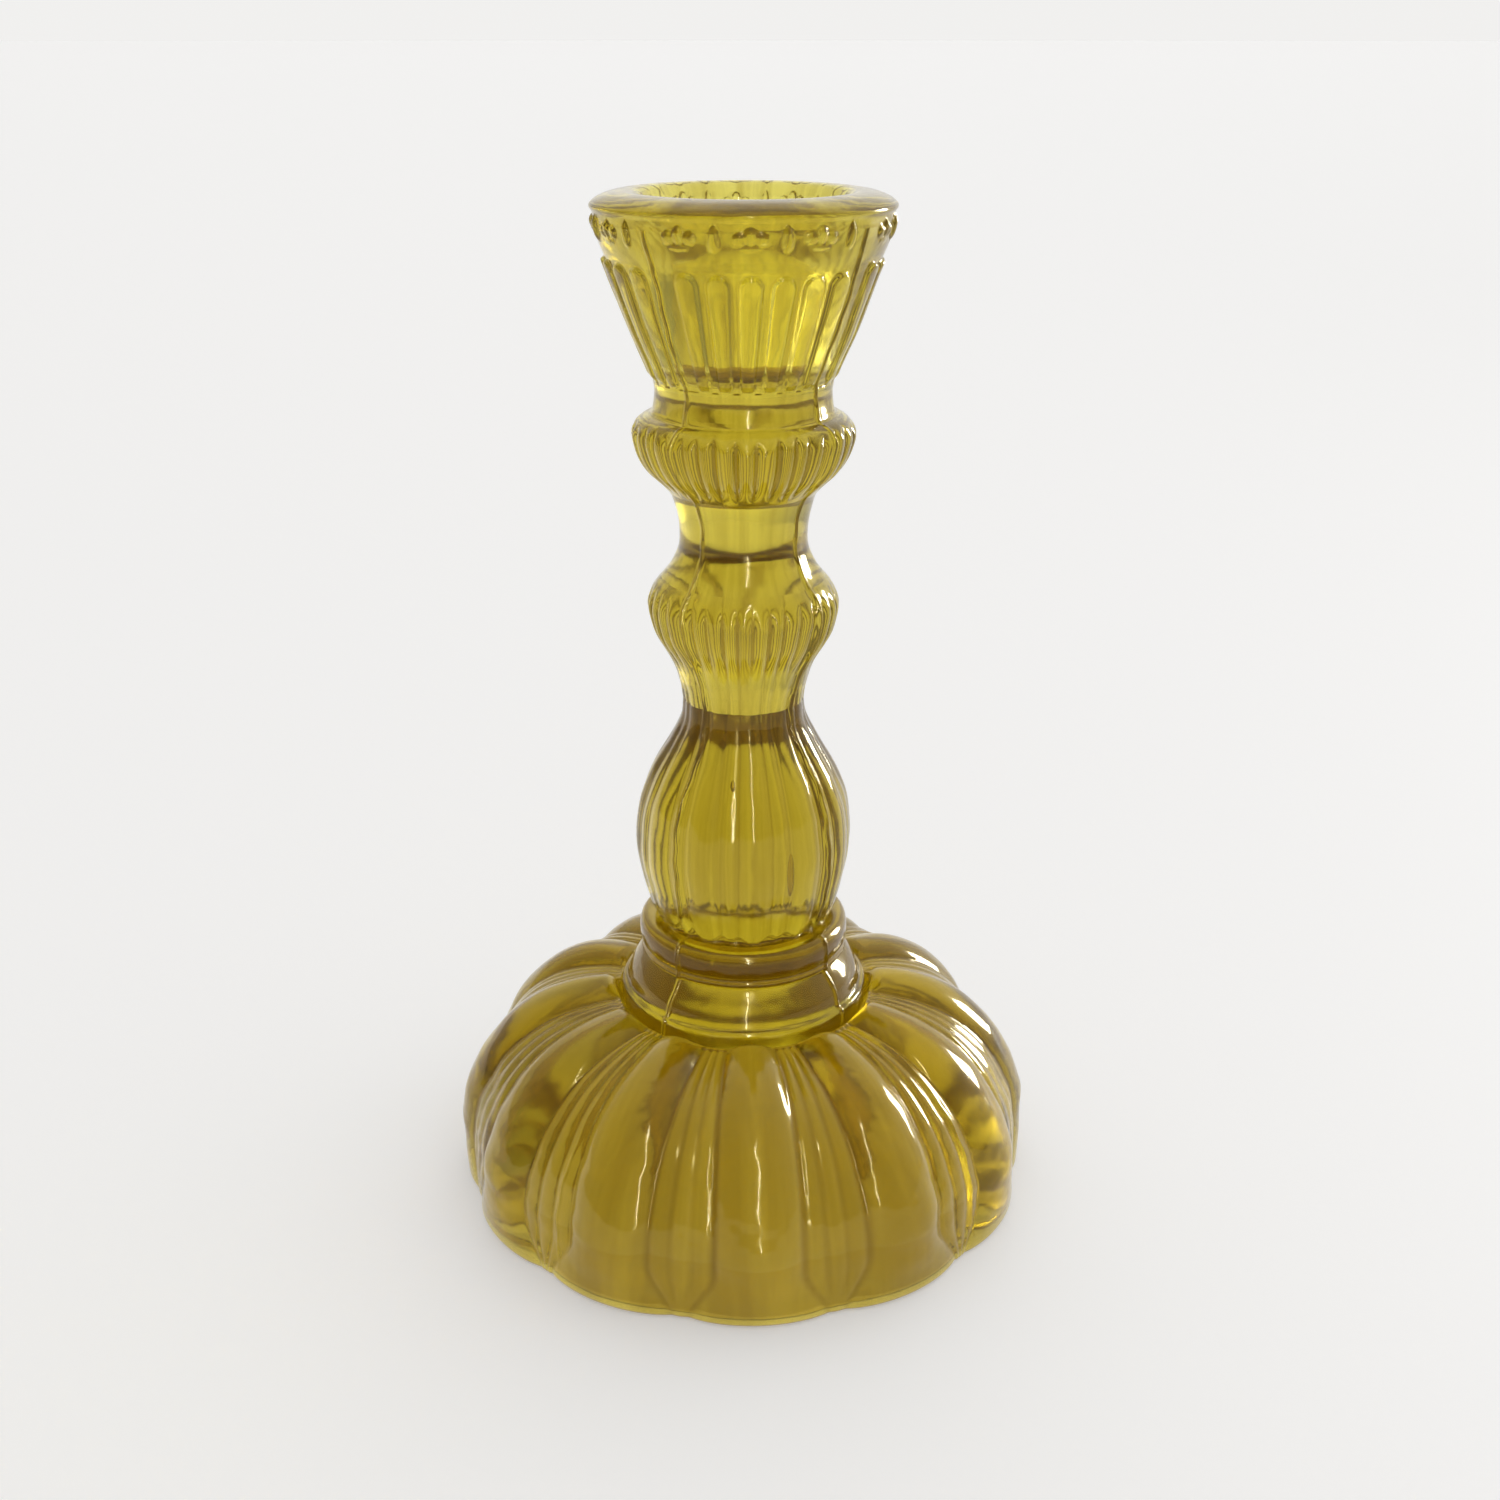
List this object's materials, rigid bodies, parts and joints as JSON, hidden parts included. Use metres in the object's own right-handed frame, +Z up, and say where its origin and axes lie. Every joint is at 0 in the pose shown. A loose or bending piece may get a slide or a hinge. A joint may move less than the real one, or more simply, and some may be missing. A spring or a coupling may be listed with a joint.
{
  "type": "candlestick",
  "caption": "Tall pressed glass candlestick with a flared socket cup, ribbed knops, a fluted bulb and a hollow lobed foot.",
  "frame": {"origin": "centre of the flat ring that the foot stands on", "axes": "+Z up along the axis of the stem, -Y towards the front, where a mould seam falls 39 degrees to the left"},
  "size_m": [0.1074, 0.1074, 0.18],
  "materials": {
    "olive_glass": "glossy transparent pressed glass"
  },
  "bodies": {
    "root": {"foot": "olive_glass", "foot_collar": "olive_glass", "merese": "olive_glass", "baluster": "olive_glass", "lower_knop": "olive_glass", "neck": "olive_glass", "upper_knop": "olive_glass", "cup_collar": "olive_glass", "candle_cup": "olive_glass", "rim": "olive_glass"}
  },
  "joints": []
}
